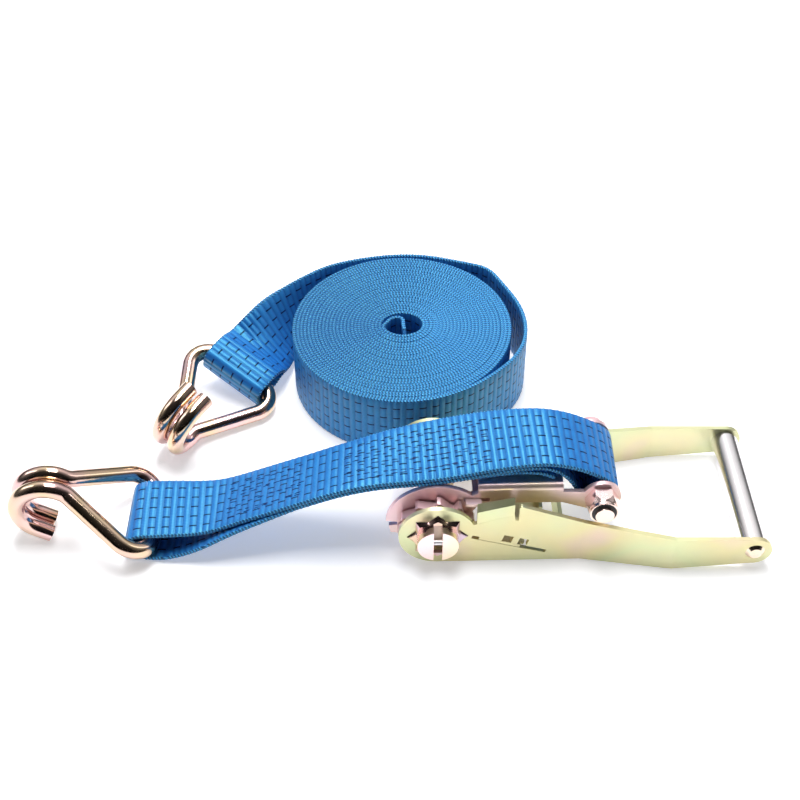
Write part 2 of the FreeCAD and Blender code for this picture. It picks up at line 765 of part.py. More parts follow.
# -------------------------------------------------------------- claw hooks
HOOK_HALF_WIDTH = 43.0
HOOK_CORNER = 14.0
HOOK_NECK = 61.0
HOOK_LEG_GAP = 6.6
HOOK_CLAW_START = 65.0
HOOK_TIP = 11.0
SHORT_HOOK_PLACE = Placement(Vector(-186.5, -8.1, 10.0), Rotation(180.0, -32.3, 0.0))
LONG_HOOK_PLACE = Placement(Vector(-135.7, 126.3, 19.8), Rotation(-125.8, 8.7, 160.8))


def build_hook(label, placement):
    """One rod bent into a cross bar, two legs and two claws.

    Its own frame has the cross bar along Y, the legs along +X, and the claws
    curling towards -Z.
    """
    claw = SIZE["hook_claw_radius"]
    crown = HOOK_CLAW_START + claw
    tip = HOOK_CLAW_START - HOOK_TIP
    side = [((tip, -2 * claw), 0), ((crown, -2 * claw), claw * 0.999), ((crown, 0), claw * 0.999),
            ((HOOK_NECK, 0), 10.0)]
    path = []
    for (x, z), radius in side:
        path.append(((x, -HOOK_LEG_GAP, z), radius))
    path.append(((0, -HOOK_HALF_WIDTH, 0), HOOK_CORNER))
    path.append(((0, HOOK_HALF_WIDTH, 0), HOOK_CORNER))
    for (x, z), radius in reversed(side):
        path.append(((x, HOOK_LEG_GAP, z), radius))
    spine = rounded_wire(path)
    start = Vector(*path[0][0])
    ring = Part.Wire(Part.Circle(start, Vector(1, 0, 0), SIZE["hook_rod_radius"]).toShape())
    rod = spine.makePipeShell([ring], True, False)
    return solid_piece(label, rod, placement)


# --------------------------------------------------------------- long strap
COIL_CENTRE = (-17.2, 137.5)
TAIL_TURN = (-73.0, 51.5)
TAIL_HEADING = (-0.725, -0.689)
EYE_SLACK = 1.8
TAIL_BOW = 12.0
FLOOR_GAP = 0.4


def section(centre, across, normal, width, thickness):
    """Rectangular cross-section of the webbing, as a closed wire."""
    across = Vector(*across).normalize() * (width / 2)
    normal = Vector(*normal).normalize() * (thickness / 2)
    centre = Vector(*centre)
    corners = [centre + across + normal, centre - across + normal,
               centre - across - normal, centre + across - normal]
    return Part.makePolygon(corners + corners[:1])


def build_coil():
    """Rolled strap, closed up into a plain disc."""
    disc = cylinder("coil_disc", "sizes.coil_radius", "sizes.webbing_width",
                    (COIL_CENTRE[0], COIL_CENTRE[1], 0), (0, 0, 1))
    add_piece(disc, "long_strap_coil")


def build_loose_turn():
    """Last turn of the roll, standing off it on the right with a kink behind."""
    spots = [((54.0, -61.5), 0), ((84.5, -30.0), 50), ((90.5, 12.0), 60), ((66.0, 64.5), 12),
             ((8.0, 86.0), 70), ((-47.0, 76.0), 60), (TAIL_TURN, 0)]
    middle = SIZE["webbing_width"] / 2
    vertices = [((x + COIL_CENTRE[0], y + COIL_CENTRE[1], middle), radius) for (x, y), radius in spots]
    spine = rounded_wire(vertices)
    heading = Vector(*vertices[1][0]) - Vector(*vertices[0][0])
    normal = Vector(-heading.y, heading.x, 0)
    start = section(vertices[0][0], (0, 0, 1), normal, SIZE["webbing_width"], SIZE["webbing_thickness"])
    strap_routes["long_strap_last_turn"] = spine
    solid_piece("long_strap_last_turn", spine.makePipeShell([start], True, False))


def build_long_strap_end():
    """End of the long strap: a half twist, then the eye sewn round the hook."""
    hook = LONG_HOOK_PLACE
    thickness = SIZE["webbing_thickness"]
    width = SIZE["webbing_width"]
    outer = HOOK_LOOP + thickness
    neck = -31.5
    outside = [((outer + EYE_SLACK, -outer), outer * 0.99), ((outer + EYE_SLACK, outer), outer * 0.99),
               ((-8.0, outer), 12), ((neck + 8, thickness), 20), ((neck, thickness), 0),
               ((neck, -thickness), 0), ((neck + 8, -thickness), 20), ((-8.0, -outer), 12)]
    inner = HOOK_LOOP
    hole = [((inner + EYE_SLACK, -inner), inner * 0.99), ((inner + EYE_SLACK, inner), inner * 0.99),
            ((-6.5, inner), 8), ((neck + 12, 0), 0), ((-6.5, -inner), 8)]
    ring = upright_face(outside).cut(upright_face(hole))
    eye = ring.extrude(Vector(0, width, 0))
    eye.translate(Vector(0, -width / 2, 0))
    eye.Placement = hook.multiply(eye.Placement)

    across = hook.Rotation.multVec(Vector(0, 1, 0))
    normal = hook.Rotation.multVec(Vector(0, 0, 1))
    throat = hook.multVec(Vector(neck, 0, 0))
    turn = Vector(TAIL_TURN[0] + COIL_CENTRE[0], TAIL_TURN[1] + COIL_CENTRE[1], width / 2)
    up = Vector(0, 0, 1)
    flat = Vector(TAIL_HEADING[1], -TAIL_HEADING[0], 0)
    if flat.dot(normal) < 0:
        flat = flat * -1
    if across.dot(up) < 0:
        up = up * -1
    outward = Vector(turn.y - throat.y, throat.x - turn.x, 0).normalize()
    if outward.x > 0:
        outward = outward * -1
    sections = []
    for step in range(5):
        share = step / 4.0
        turned = min(1.0, 1.2 * share)
        ease = turned * turned * (3 - 2 * turned)
        centre = throat * (1 - share) + turn * share + outward * (4 * TAIL_BOW * share * (1 - share))
        direction = (across * (1 - ease) + up * ease).normalize()
        facing = normal * (1 - ease) + flat * ease
        facing = (facing - direction * facing.dot(direction)).normalize()
        thick = 2 * thickness * (1 - share) + thickness * share
        lowest = FLOOR_GAP + (width * abs(direction.z) + thick * abs(facing.z)) / 2
        centre.z = max(centre.z, lowest)
        sections.append(section(centre, direction, facing, width, thick))
    twist = Part.makeLoft(sections, True, False)
    solid_piece("long_strap_end", eye.fuse(twist).removeSplitter())


# ----------------------------------------------------------------- assembly
build_frame()
build_frame_pawl()
build_strap_pin()
build_spring_seat("frame_spring_seat", (FRAME_SEAT_X, 0, FRAME_PAWL_Z), Rotation(),
                  FRAME_HALF - 0.05, 3.0, 9.0, (-17.0, 17.0))
for name, side in SIDES:
    build_spring("frame_spring_" + name,
                 Placement(Vector(FRAME_SEAT_X - 11.4, side * 17.0, FRAME_PAWL_Z), Rotation()), 10.8, 6)

build_spindle_half("spindle_half_left", -1)
build_spindle_half("spindle_half_right", 1)
for name, side in SIDES:
    build_wheel("ratchet_wheel_" + name, side)
    build_star_washer("spindle_washer_" + name, side)
    build_cotter("spindle_cotter_" + name, side)

for name, side in SIDES:
    build_handle_plate("handle_plate_" + name, side)
build_grip()
build_drive_pawl()
seat_place = drive_placement(DRIVE_SEAT)
build_spring_seat("handle_spring_seat", tuple(seat_place.Base), seat_place.Rotation,
                  HANDLE_HALF - 0.05, 3.0, 8.0, (-24.0, 24.0))
for name, side in SIDES:
    spot = drive_placement(DRIVE_SEAT - 17.6).multiply(Placement(Vector(0, side * 24.0, 0), Rotation()))
    build_spring("drive_spring_" + name, spot, 17.0, 9)

build_short_strap()
build_hook("short_strap_hook", SHORT_HOOK_PLACE)
build_coil()
build_loose_turn()
build_long_strap_end()
build_hook("long_strap_hook", LONG_HOOK_PLACE)
doc.recompute()

# ------------------------------------------------------------------- output
os.makedirs("parts", exist_ok=True)
SECTION_AREA = SIZE["webbing_width"] * SIZE["webbing_thickness"]
for piece in pieces:
    shape = piece.Shape
    if {"Invalid", "Error"} & set(piece.State) or shape.isNull() or not shape.isValid():
        raise RuntimeError("bad piece: %s %s" % (piece.Label, piece.State))
for piece in pieces:
    piece.Shape.exportStep("parts/" + piece.Label + ".step")
    print("%-24s volume %9.1f mm3" % (piece.Label, piece.Shape.Volume))
for label, spine in strap_routes.items():
    bends = [edge.Curve.Radius for edge in spine.Edges if isinstance(edge.Curve, Part.Circle)]
    volume = doc.getObject(label).Shape.Volume
    print("%s: bend radii %s mm, section times length %.0f, volume %.0f mm3"
          % (label, " ".join("%.1f" % bend for bend in bends), SECTION_AREA * spine.Length, volume))
print("short_strap: both layers together are %.0f mm of webbing"
      % (doc.getObject("short_strap").Shape.Volume / SECTION_AREA))
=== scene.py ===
import json
import math

import bpy
import numpy as np
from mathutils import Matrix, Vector


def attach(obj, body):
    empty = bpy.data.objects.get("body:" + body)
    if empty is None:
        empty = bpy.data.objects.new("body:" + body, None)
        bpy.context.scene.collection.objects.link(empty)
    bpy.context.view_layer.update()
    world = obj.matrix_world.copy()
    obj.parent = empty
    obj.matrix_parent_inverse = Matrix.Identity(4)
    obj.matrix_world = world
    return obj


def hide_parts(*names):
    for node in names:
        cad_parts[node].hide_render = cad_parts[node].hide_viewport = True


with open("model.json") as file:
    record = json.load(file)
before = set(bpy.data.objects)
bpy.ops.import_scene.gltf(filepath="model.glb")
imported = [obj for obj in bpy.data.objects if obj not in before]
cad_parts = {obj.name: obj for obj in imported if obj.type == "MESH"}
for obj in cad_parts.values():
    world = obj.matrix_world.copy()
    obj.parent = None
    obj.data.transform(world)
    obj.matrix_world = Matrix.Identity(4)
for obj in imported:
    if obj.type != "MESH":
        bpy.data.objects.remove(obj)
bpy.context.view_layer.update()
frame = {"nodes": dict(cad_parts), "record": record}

MM = 0.001


# ------------------------------------------------------------------ camera
LENS_MM = 61.1
CAMERA_AT = Vector((-39.2, -609.9, 688.1)) * MM
CAMERA_TO = Vector((-19.9, 111.9, 0.0)) * MM

camera_data = bpy.data.cameras.new("camera")
camera_data.lens = LENS_MM
camera_data.sensor_width = 36.0
camera_data.clip_start = 0.05
camera_data.clip_end = 50.0
camera = bpy.data.objects.new("camera", camera_data)
camera.location = CAMERA_AT
camera.rotation_euler = (CAMERA_TO - CAMERA_AT).to_track_quat("-Z", "Y").to_euler()
bpy.context.scene.collection.objects.link(camera)
bpy.context.scene.camera = camera

# ------------------------------------------------- sizes of the webbing, mm
WIDTH = 50.0
THICKNESS = 2.6
RIB_PITCH = 4.5
RIB_HEIGHT = 0.30
RIB_MEAN = 0.62
SCALLOP = 0.28
EDGE_ROUND = 0.6
EDGE_LOOP = 0.95
HALF_GIRTH = 2 * (WIDTH / 2 - EDGE_ROUND) + math.pi * EDGE_ROUND
YARN_PITCH = 1.35
DASH_ROWS = 5
ROW_GAP = 8.8
DASH_LENGTH = 5.2
DASH_HALF_WIDTH = 0.55
LOOP_SLANT = 2.4
# Distance between rows of points along a ribbon, on its outer stretches and inside the roll
FINE_STEP = 0.65
CORE_STEP = 0.75


# ------------------------------------------------------------- shader nodes
class Nodes:
    """Short ways to build one material's node tree."""

    def __init__(self, name):
        self.material = bpy.data.materials.new(name)
        self.material.use_nodes = True
        self.tree = self.material.node_tree
        self.shader = self.tree.nodes["Principled BSDF"]

    def add(self, kind, **settings):
        node = self.tree.nodes.new(kind)
        for key, value in settings.items():
            setattr(node, key, value)
        return node

    def link(self, source, target):
        self.tree.links.new(source, target)

    def set(self, **values):
        for key, value in values.items():
            self.shader.inputs[key.replace("_", " ")].default_value = value

    def put(self, value, socket):
        if isinstance(value, (int, float)):
            socket.default_value = value
        else:
            self.link(value, socket)

    def math(self, operation, first, second=0.0, third=0.0, clamp=False):
        node = self.add("ShaderNodeMath", operation=operation, use_clamp=clamp)
        for value, socket in zip((first, second, third), node.inputs):
            self.put(value, socket)
        return node.outputs[0]

    def mix(self, factor, first, second):
        node = self.add("ShaderNodeMix", data_type="RGBA")
        self.put(factor, node.inputs[0])
        for value, socket in ((first, node.inputs[6]), (second, node.inputs[7])):
            if isinstance(value, tuple):
                socket.default_value = (*value, 1.0)
            else:
                self.link(value, socket)
        return node.outputs[2]

    def place(self, scale=1.0, stretch=(1, 1, 1)):
        """The object's own coordinates, in metres times scale."""
        spot = self.add("ShaderNodeTexCoord")
        mapping = self.add("ShaderNodeMapping")
        mapping.inputs["Scale"].default_value = [scale * value for value in stretch]
        self.link(spot.outputs["Object"], mapping.inputs["Vector"])
        return mapping.outputs[0]

    def noise(self, vector, detail=3.0, rough=0.55, size=1.0):
        node = self.add("ShaderNodeTexNoise")
        node.inputs["Scale"].default_value = size
        node.inputs["Detail"].default_value = detail
        node.inputs["Roughness"].default_value = rough
        self.link(vector, node.inputs["Vector"])
        return node.outputs[0]

    def ramp(self, value, stops):
        node = self.add("ShaderNodeValToRGB")
        elements = node.color_ramp.elements
        while len(elements) < len(stops):
            elements.new(0.5)
        for element, (position, colour) in zip(elements, stops):
            element.position = position
            element.color = (*colour, 1.0)
        self.link(value, node.inputs[0])
        return node.outputs[0]

    def bump(self, height, strength, distance):
        node = self.add("ShaderNodeBump")
        node.inputs["Strength"].default_value = strength
        node.inputs["Distance"].default_value = distance
        self.link(height, node.inputs["Height"])
        self.link(node.outputs[0], self.shader.inputs["Normal"])


def webbing_material():
    """Ribbed polyester webbing: u runs along it and v across it, in metres."""
    n = Nodes("webbing_polyester")
    uv = n.add("ShaderNodeUVMap", uv_map="weave")
    split = n.add("ShaderNodeSeparateXYZ")
    n.link(uv.outputs[0], split.inputs[0])
    along = n.math("DIVIDE", split.outputs[0], RIB_PITCH * MM)
    round_it = n.math("ADD", n.math("DIVIDE", split.outputs[1], MM), HALF_GIRTH / 2)
    across = n.math("SUBTRACT", n.math("FLOORED_MODULO", round_it, HALF_GIRTH), HALF_GIRTH / 2)
    rib = n.math("ABSOLUTE", n.math("SINE", n.math("MULTIPLY", along, math.pi)))
    odd = n.math("FLOORED_MODULO", n.math("FLOOR", along), 2.0)

    yarn_place = n.math("ADD", n.math("DIVIDE", across, YARN_PITCH), n.math("MULTIPLY", odd, 0.5))
    yarn = n.math("ABSOLUTE", n.math("SINE", n.math("MULTIPLY", yarn_place, math.pi)))

    # Dark dashes: one on every second rib, in rows on the faces only.
    past_row = n.math("FLOORED_MODULO", n.math("ADD", across, ROW_GAP / 2), ROW_GAP)
    to_row = n.math("SUBTRACT", past_row, ROW_GAP / 2)
    near_row = n.math("LESS_THAN", n.math("ABSOLUTE", to_row), DASH_HALF_WIDTH)
    on_face = n.math("LESS_THAN", n.math("ABSOLUTE", across), DASH_ROWS / 2 * ROW_GAP)
    pair = n.math("FRACT", n.math("MULTIPLY", along, 0.5))
    in_dash = n.math("LESS_THAN", n.math("ABSOLUTE", n.math("SUBTRACT", pair, 0.25)),
                     DASH_LENGTH / (4 * RIB_PITCH))
    tracer = n.math("MULTIPLY", n.math("MULTIPLY", near_row, on_face), in_dash)

    mottle = n.noise(n.place(160.0), detail=4.0)
    streak = n.noise(n.place(1400.0), detail=2.0)
    height = n.math("ADD", n.math("MULTIPLY", rib, 0.75), n.math("MULTIPLY", yarn, 0.22))
    height = n.math("ADD", height, n.math("MULTIPLY", streak, 0.30))
    # The colour carries painted shade: darker in the valleys between ribs and lighter on their crests,
    # plus random mottle and streaks of tone.
    shade = n.math("ADD", n.math("MULTIPLY", rib, 0.45), n.math("MULTIPLY", mottle, 0.55))
    shade = n.math("ADD", shade, n.math("MULTIPLY", n.math("SUBTRACT", streak, 0.5), 0.5), clamp=True)
    rib_shaded_blue = n.ramp(shade, [(0.0, (0.009, 0.055, 0.27)), (0.45, (0.014, 0.120, 0.43)),
                          (1.0, (0.024, 0.220, 0.60))])
    colour = n.mix(tracer, rib_shaded_blue, (0.004, 0.010, 0.06))

    # Slanting loops along the edges, two to each rib, coloured with a painted highlight on their crests
    # and painted shade in their dips.
    on_edge = n.math("GREATER_THAN", n.math("ABSOLUTE", across), WIDTH / 2 - EDGE_LOOP)
    slant = n.math("MULTIPLY", across, LOOP_SLANT)
    loop = n.math("SINE", n.math("ADD", n.math("MULTIPLY", along, 4 * math.pi), slant))
    loop = n.math("ADD", n.math("MULTIPLY", loop, 0.5), 0.5)
    loop_highlight_and_shade = n.ramp(loop, [(0.25, (0.005, 0.028, 0.15)), (0.62, (0.010, 0.085, 0.37)),
                              (0.95, (0.07, 0.33, 0.72))])
    colour = n.mix(on_edge, colour, loop_highlight_and_shade)
    n.link(colour, n.shader.inputs["Base Color"])
    height = n.math("ADD", height, n.math("MULTIPLY", n.math("MULTIPLY", loop, on_edge), 0.8))
    rough = n.math("ADD", n.math("MULTIPLY", streak, 0.20), 0.30)
    n.link(rough, n.shader.inputs["Roughness"])
    gloss = n.math("SUBTRACT", 1.0, n.math("MULTIPLY", tracer, 0.8))
    n.link(gloss, n.shader.inputs["Specular IOR Level"])
    n.set(Specular_Tint=(0.27, 0.99, 0.94, 1.0), Anisotropic=0.8, Anisotropic_Rotation=0.25)
    threads_run = n.add("ShaderNodeTangent", direction_type="UV_MAP", uv_map="weave")
    n.link(threads_run.outputs[0], n.shader.inputs["Tangent"])
    n.bump(height, 0.6, 0.0005)
    return n.material


RUBBED_GREY = (0.62, 0.60, 0.58)


def metal_material(name, tints, roughness, grain=900.0, dents=0.15, wear=0.5, metallic=1.0):
    """Plated steel: drifting tints of passivation, fine grain and rubbed patches."""
    n = Nodes(name)
    drift = n.noise(n.place(14.0), detail=2.0, rough=0.45)
    colour = n.ramp(drift, tints)
    patch = n.noise(n.place(90.0), detail=5.0, rough=0.6)
    scratch = n.noise(n.place(grain, (0.12, 1.0, 1.0)), detail=3.0)
    rubbed = n.math("MULTIPLY", n.math("SUBTRACT", patch, 0.5), wear, clamp=True)
    colour = n.mix(rubbed, colour, RUBBED_GREY)
    n.link(colour, n.shader.inputs["Base Color"])
    rough = n.math("ADD", n.math("MULTIPLY", patch, 0.16), roughness - 0.08)
    rough = n.math("ADD", rough, n.math("MULTIPLY", scratch, 0.06))
    n.link(rough, n.shader.inputs["Roughness"])
    n.set(Metallic=metallic)
    height = n.math("ADD", n.math("MULTIPLY", scratch, 0.4), n.math("MULTIPLY", patch, 1.0))
    n.bump(height, dents, 0.0004)
    return n.material


def plain_material(name, dark, light, roughness):
    n = Nodes(name)
    speck = n.noise(n.place(600.0), detail=3.0)
    n.link(n.ramp(speck, [(0.3, dark), (0.7, light)]), n.shader.inputs["Base Color"])
    n.link(n.math("ADD", n.math("MULTIPLY", speck, 0.15), roughness), n.shader.inputs["Roughness"])
    n.bump(speck, 0.1, 0.0002)
    return n.material


WEBBING = webbing_material()
HANDLE_TINTS = [(0.26, (0.78, 0.56, 0.54)), (0.38, (0.77, 0.70, 0.43)), (0.52, (0.68, 0.72, 0.42)),
                (0.66, (0.75, 0.68, 0.38)), (0.78, (0.78, 0.56, 0.52))]
FRAME_TINTS = [(0.30, (0.86, 0.54, 0.60)), (0.50, (0.92, 0.68, 0.69)), (0.70, (0.86, 0.72, 0.48))]
ROSE_TINTS = [(0.30, (0.50, 0.30, 0.31)), (0.42, (0.72, 0.47, 0.45)), (0.52, (0.70, 0.53, 0.35)),
              (0.60, (0.74, 0.50, 0.48)), (0.72, (0.36, 0.35, 0.50))]
STEEL_TINTS = [(0.35, (0.76, 0.74, 0.78)), (0.65, (0.90, 0.86, 0.87))]
ZINC = metal_material("zinc_straw", HANDLE_TINTS, 0.30, metallic=0.8)
FRAME_ZINC = metal_material("zinc_pink", FRAME_TINTS, 0.34, metallic=0.7)
HOOK_ZINC = metal_material("zinc_rose", ROSE_TINTS, 0.11, grain=500.0, dents=0.05, wear=0.2)
BOLT_ZINC = metal_material("zinc_bolt", FRAME_TINTS, 0.16, wear=0.8)
BRIGHT = metal_material("bright_tube", STEEL_TINTS, 0.14, grain=1500.0, dents=0.08)
SPRING = metal_material("spring_wire", STEEL_TINTS, 0.3)
NYLON = plain_material("black_nylon", (0.006, 0.006, 0.008), (0.016, 0.016, 0.018), 0.4)
THREAD = plain_material("stitch_thread", (0.006, 0.025, 0.13), (0.010, 0.05, 0.22), 0.5)

SLOT_MATERIALS = {"zinc_plate": ZINC, "hook_zinc": HOOK_ZINC, "bolt_zinc": BOLT_ZINC,
                  "bright_steel": BRIGHT, "spring_steel": SPRING, "black_nylon": NYLON,
                  "webbing": WEBBING}
for entry in frame["record"]["subparts"]:
    for material_slot in frame["nodes"][entry["node"]].material_slots:
        material_slot.material = SLOT_MATERIALS[entry["material_slot"]]
PIECE_MATERIALS = {"frame": FRAME_ZINC, "frame_pawl": FRAME_ZINC, "frame_spring_seat": FRAME_ZINC,
                   "ratchet_wheel_near": FRAME_ZINC, "ratchet_wheel_far": FRAME_ZINC,
                   "spindle_half_left": BOLT_ZINC, "spindle_half_right": BOLT_ZINC,
                   "spindle_washer_near": HOOK_ZINC, "spindle_washer_far": HOOK_ZINC}
for name, finish in PIECE_MATERIALS.items():
    for material_slot in frame["nodes"][name].material_slots:
        material_slot.material = finish


# ------------------------------------------------------------ lines, ribbons
def smooth_line(control, closed=False, per_span=24):
    """Quadratic B-spline that touches the middle of each side of its control polygon."""
    control = np.asarray(control, float)
    if closed:
        ends = (control + np.roll(control, -1, axis=0)) / 2
        starts = np.roll(ends, 1, axis=0)
        corners = control
    else:
        middles = (control[1:-2] + control[2:-1]) / 2
        starts = np.vstack([control[:1], middles])
        corners = control[1:-1]
        ends = np.vstack([middles, control[-1:]])
    share = np.linspace(0, 1, per_span, endpoint=False)[None, :, None]
    spans = ((1 - share) ** 2 * starts[:, None] + 2 * share * (1 - share) * corners[:, None]
             + share ** 2 * ends[:, None])
    line = spans.reshape(-1, control.shape[1])
    if not closed:
        line = np.vstack([line, control[-1:]])
    return line


def run_lengths(line, closed):
    """Distance along the line to each of its points, and the whole length."""
    loop = np.vstack([line, line[:1]]) if closed else line
    steps = np.linalg.norm(np.diff(loop[:, :3], axis=0), axis=1)
    return np.concatenate([[0.0], np.cumsum(steps)])


def resample(line, step, closed=False):
    """The line at even steps. step is a length, or a list of (where, step) pairs."""
    lengths = run_lengths(line, closed)
    loop = np.vstack([line, line[:1]]) if closed else line
    total = lengths[-1]
    if isinstance(step, (int, float)):
        count = int(math.ceil(total / step))
        spots = np.linspace(0, total, count + 1)
    else:
        parts = []
        for index, (start, size) in enumerate(step):
            stop = step[index + 1][0] if index + 1 < len(step) else total
            count = max(1, int(round((stop - start) / size)))
            parts.append(np.linspace(start, stop, count, endpoint=False))
        spots = np.concatenate(parts + [[total]])
    sampled = np.stack([np.interp(spots, lengths, loop[:, k]) for k in range(loop.shape[1])], axis=1)
    if closed:
        sampled = sampled[:-1]
    return sampled, spots


def strap_profile(half_width, half_thick):
    """Points round the webbing's section: across, through, whether on an edge, and way round it."""
    inner = half_width - EDGE_ROUND
    flat = np.linspace(-inner, inner, 9)
    turn = np.radians([60.0, 30.0, 0.0, -30.0, -60.0])
    top = [(a, half_thick, 0, a) for a in flat]
    right = [(inner + EDGE_ROUND * math.cos(t), half_thick * math.sin(t), 1,
              inner + EDGE_ROUND * (math.pi / 2 - t)) for t in turn]
    low = [(a, -half_thick, 0, HALF_GIRTH - a) for a in flat[::-1]]
    left = [(-a, n, 1, 2 * HALF_GIRTH - v) for a, n, edge, v in right[::-1]]
    return np.array(top + right + low + left)


def between(ends, share):
    return ends[0] + (ends[1] - ends[0]) * share


def unit(rows):
    return rows / np.linalg.norm(rows, axis=1, keepdims=True)


def frame_of(line, closed=False):
    """Along, across and through directions at each point of a ribbon's middle line."""
    points, across = line[:, :3], line[:, 3:6]
    if closed:
        along = np.roll(points, -1, axis=0) - np.roll(points, 1, axis=0)
    else:
        along = np.gradient(points, axis=0)
    along = unit(along)
    across = unit(across - along * np.sum(across * along, axis=1, keepdims=True))
    return along, across, np.cross(along, across)


def mesh_object(name, points, faces, material, uv=None, smooth=True):
    mesh = bpy.data.meshes.new(name)
    mesh.from_pydata([tuple(p) for p in points], [], faces)
    mesh.update()
    if uv is not None:
        layer = mesh.uv_layers.new(name="weave")
        layer.data.foreach_set("uv", np.asarray(uv, np.float32).ravel())
    mesh.polygons.foreach_set("use_smooth", [smooth] * len(mesh.polygons))
    mesh.materials.append(material)
    piece = bpy.data.objects.new(name, mesh)
    bpy.context.scene.collection.objects.link(piece)
    return piece


def ribbon(name, line, spots, closed, rib_height):
    """A strip of webbing along line: rows of (point, across direction), in mm."""
    profile = strap_profile(WIDTH / 2, THICKNESS / 2)
    along, across, through = frame_of(line, closed)
    count, ring = len(line), len(profile)
    distance = spots[:count]
    rib = np.abs(np.sin(np.pi * distance / RIB_PITCH)) - RIB_MEAN
    scallop = np.cos(4 * np.pi * distance / RIB_PITCH) * SCALLOP
    height = rib_height if isinstance(rib_height, np.ndarray) else np.full(count, rib_height)
    swell = 1 + (rib * height / (THICKNESS / 2))
    outward = np.sign(profile[None, :, 0]) * profile[None, :, 2]
    aside = profile[None, :, 0] + outward * scallop[:, None]
    up = profile[None, :, 1] * swell[:, None]
    points = line[:, None, :3] + across[:, None, :] * aside[..., None]
    points = points + through[:, None, :] * up[..., None]
    points = points.reshape(-1, 3) * MM

    rows = count if closed else count - 1
    faces, uv = [], []
    widths = np.append(profile[:, 3], profile[0, 3] + 2 * HALF_GIRTH) * MM
    for row in range(rows):
        following = (row + 1) % count
        u0, u1 = spots[row] * MM, spots[row + 1] * MM
        for k in range(ring):
            nxt = (k + 1) % ring
            faces.append((row * ring + k, following * ring + k,
                          following * ring + nxt, row * ring + nxt))
            uv += [(u0, widths[k]), (u1, widths[k]), (u1, widths[k + 1]), (u0, widths[k + 1])]
    if not closed:
        faces.append(tuple(range(ring)))
        uv += [(0.0, widths[k]) for k in range(ring)]
        faces.append(tuple((count - 1) * ring + k for k in reversed(range(ring))))
        uv += [(spots[-1] * MM, widths[k]) for k in reversed(range(ring))]
    return mesh_object(name, points, faces, WEBBING, uv)


TUBE_TIP = 0.35


def tubes(name, paths, radius, material, sides):
    """Rounded threads or wires along short paths of points, in mm, in one mesh."""
    points, faces = [], []
    for path in paths:
        path = np.asarray(path, float)
        along = unit(np.gradient(path, axis=0))
        helper = np.where(np.abs(along[:, 2:3]) < 0.9, [[0, 0, 1.0]], [[1.0, 0, 0]])
        side = unit(np.cross(along, helper))
        up = np.cross(side, along)
        taper = np.ones(len(path))
        taper[[0, -1]] = TUBE_TIP
        base = len(points)
        for index in range(len(path)):
            for k in range(sides):
                angle = 2 * math.pi * k / sides
                offset = side[index] * math.cos(angle) + up[index] * math.sin(angle)
                points.append((path[index] + offset * radius * taper[index]) * MM)
        for index in range(len(path) - 1):
            for k in range(sides):
                nxt = (k + 1) % sides
                low, high = base + index * sides, base + (index + 1) * sides
                faces.append((low + k, low + nxt, high + nxt, high + k))
        faces.append(tuple(base + k for k in reversed(range(sides))))
        faces.append(tuple(base + (len(path) - 1) * sides + k for k in range(sides)))
    return mesh_object(name, points, faces, material)


# -------------------------------------------------------------- short strap
PIN = (105.0, 45.5)
YAW = math.radians(1.6)
ROLL_SMOOTHING = 31
# Where along x, and how much higher the far edge lies than the near one
ROLL_AT = [-201, -170, -155, -128, -100, -72, -44, -12, 18, 50, 78, 120]
ROLL_RISE = [0, -2, -3, -7, -6.5, -8.4, -6.6, 4.8, 6.6, 2, 0, 0]
# Where along x, and how far towards the far side the lower layer lies
SAG_AT = [-201, -175, -150, -120, -90]
SAG_ASIDE = [-1, -5, -6, -3, 0]
# Middle lines of the layers as x and z
UPPER_LAYER = [(-201.0, 19.6), (-176.0, 19.3), (-157.0, 18.6), (-143.0, 20.2), (-126.0, 26.4),
               (-100.0, 36.3), (-45.0, 57.3), (0.0, 64.4), (45.0, 73.1), (80.0, 73.1)]
TUCK_LINE = [(-6.0, 57.6), (12.0, 60.6), (30.0, 63.6), (50.0, 65.8), (64.0, 65.0), (72.0, 61.6),
             (74.5, 60.0)]
ROUND_PIN = [(115.6, 52.9), (116.8, 39.9), (106.3, 32.6), (94.4, 38.0)]
LOWER_LAYER = [(86.4, 57.6), (71.5, 70.3), (45.0, 70.3), (0.0, 61.5), (-45.0, 54.3), (-100.0, 33.3),
               (-136.0, 19.3), (-170.0, 1.95), (-201.0, 1.95)]


def short_strap_line():
    """Middle line of the short strap's closed loop."""
    upper = [(x, z, 0.0) for x, z in UPPER_LAYER]
    pin = [(x, z, 0.5) for x, z in ROUND_PIN]
    lower = [(x, z, 1.0) for x, z in LOWER_LAYER]
    flat = smooth_line(upper + pin + lower, closed=True)
    x, z, below = flat[:, 0], flat[:, 1], flat[:, 2]
    roll = np.interp(x, ROLL_AT, ROLL_RISE)
    kernel = np.ones(ROLL_SMOOTHING) / ROLL_SMOOTHING
    reach = ROLL_SMOOTHING // 2
    roll = np.convolve(np.concatenate([roll[-reach:], roll, roll[:reach]]), kernel, "valid")
    aside = np.interp(x, SAG_AT, SAG_ASIDE) * np.clip(below * 2 - 1, 0, 1)
    y = -(PIN[0] - x) * math.tan(YAW) + aside
    across = np.stack([np.full_like(x, math.sin(YAW)), np.full_like(x, math.cos(YAW)), roll / WIDTH],
                      axis=1)
    return np.column_stack([x, y, z, across])


short_line, short_spots = resample(short_strap_line(), FINE_STEP, closed=True)
short_strap = ribbon("short_strap_webbing", short_line, short_spots, True, RIB_HEIGHT)
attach(short_strap, "ratchet_frame")
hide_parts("short_strap")


STITCH = 3.8
STITCH_SPREAD = (0.7, 1.4)
STITCH_GAP = (1.2, 6.2)
STITCH_DRIFT = 0.5
FIRST_STITCH = (2.0, 6.0)
THREAD_RISE = (0.02, 0.24)


